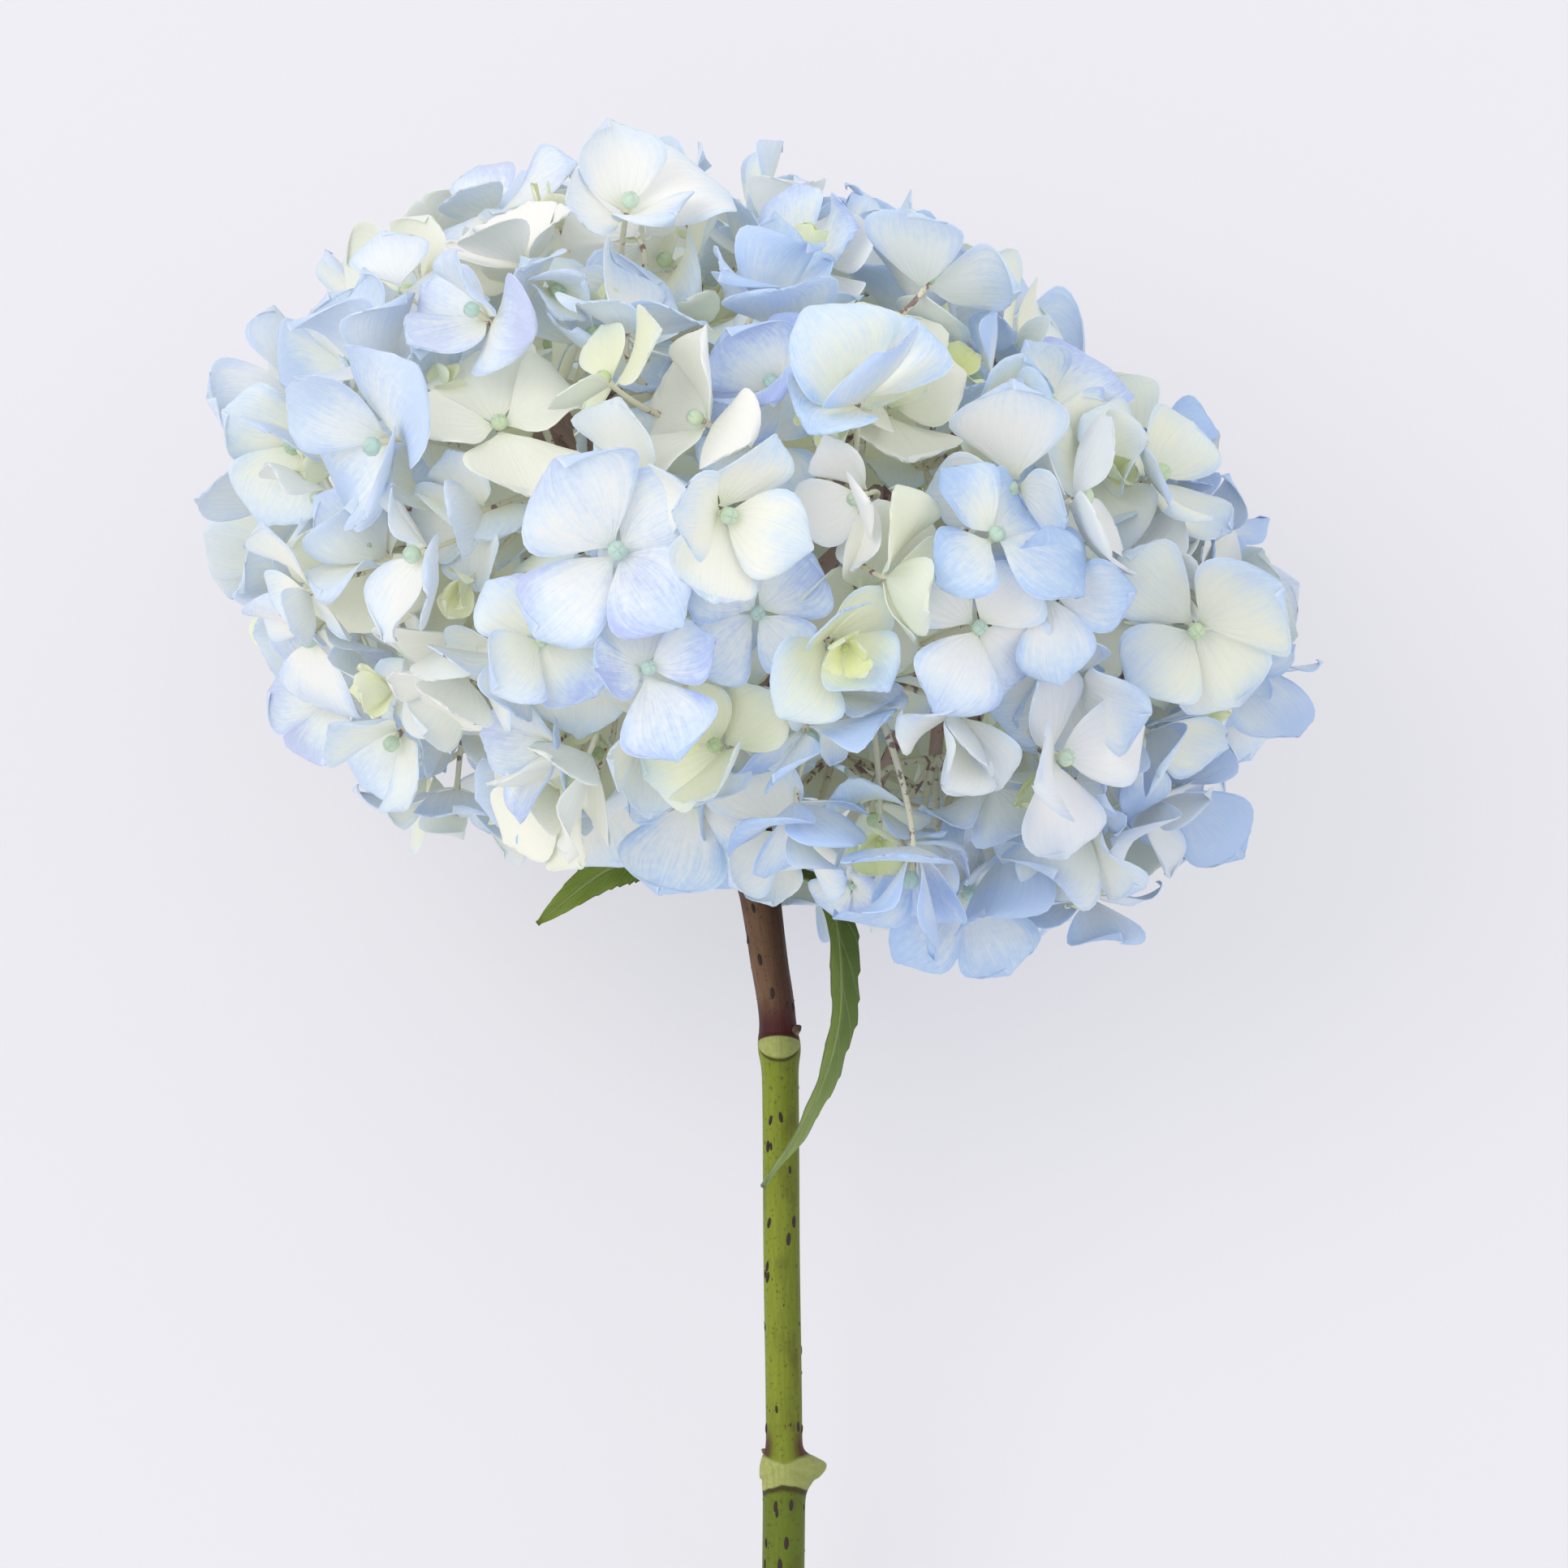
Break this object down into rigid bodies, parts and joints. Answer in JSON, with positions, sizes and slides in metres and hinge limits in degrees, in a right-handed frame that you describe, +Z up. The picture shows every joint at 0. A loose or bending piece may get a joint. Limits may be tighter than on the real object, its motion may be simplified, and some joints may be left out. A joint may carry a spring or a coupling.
{
  "type": "cut hydrangea",
  "caption": "Cut mophead hydrangea laid on its side: a flattened dome of four-sepalled florets on a jointed woody stem, with small toothed leaves under the head.",
  "frame": {"origin": "centre of the bounding box's bottom, on the surface that the flower lies on", "axes": "+Y along the stem towards the head, +Z up, +X to the right as seen from above with the head away"},
  "size_m": [0.1844, 0.3444, 0.1585],
  "materials": {
    "sepals": "matte",
    "stem": "satin",
    "leaf": "satin"
  },
  "bodies": {
    "root": {"stem": "stem", "flower_head": "sepals", "leaf_left": "leaf", "leaf_right": "leaf"}
  },
  "joints": []
}
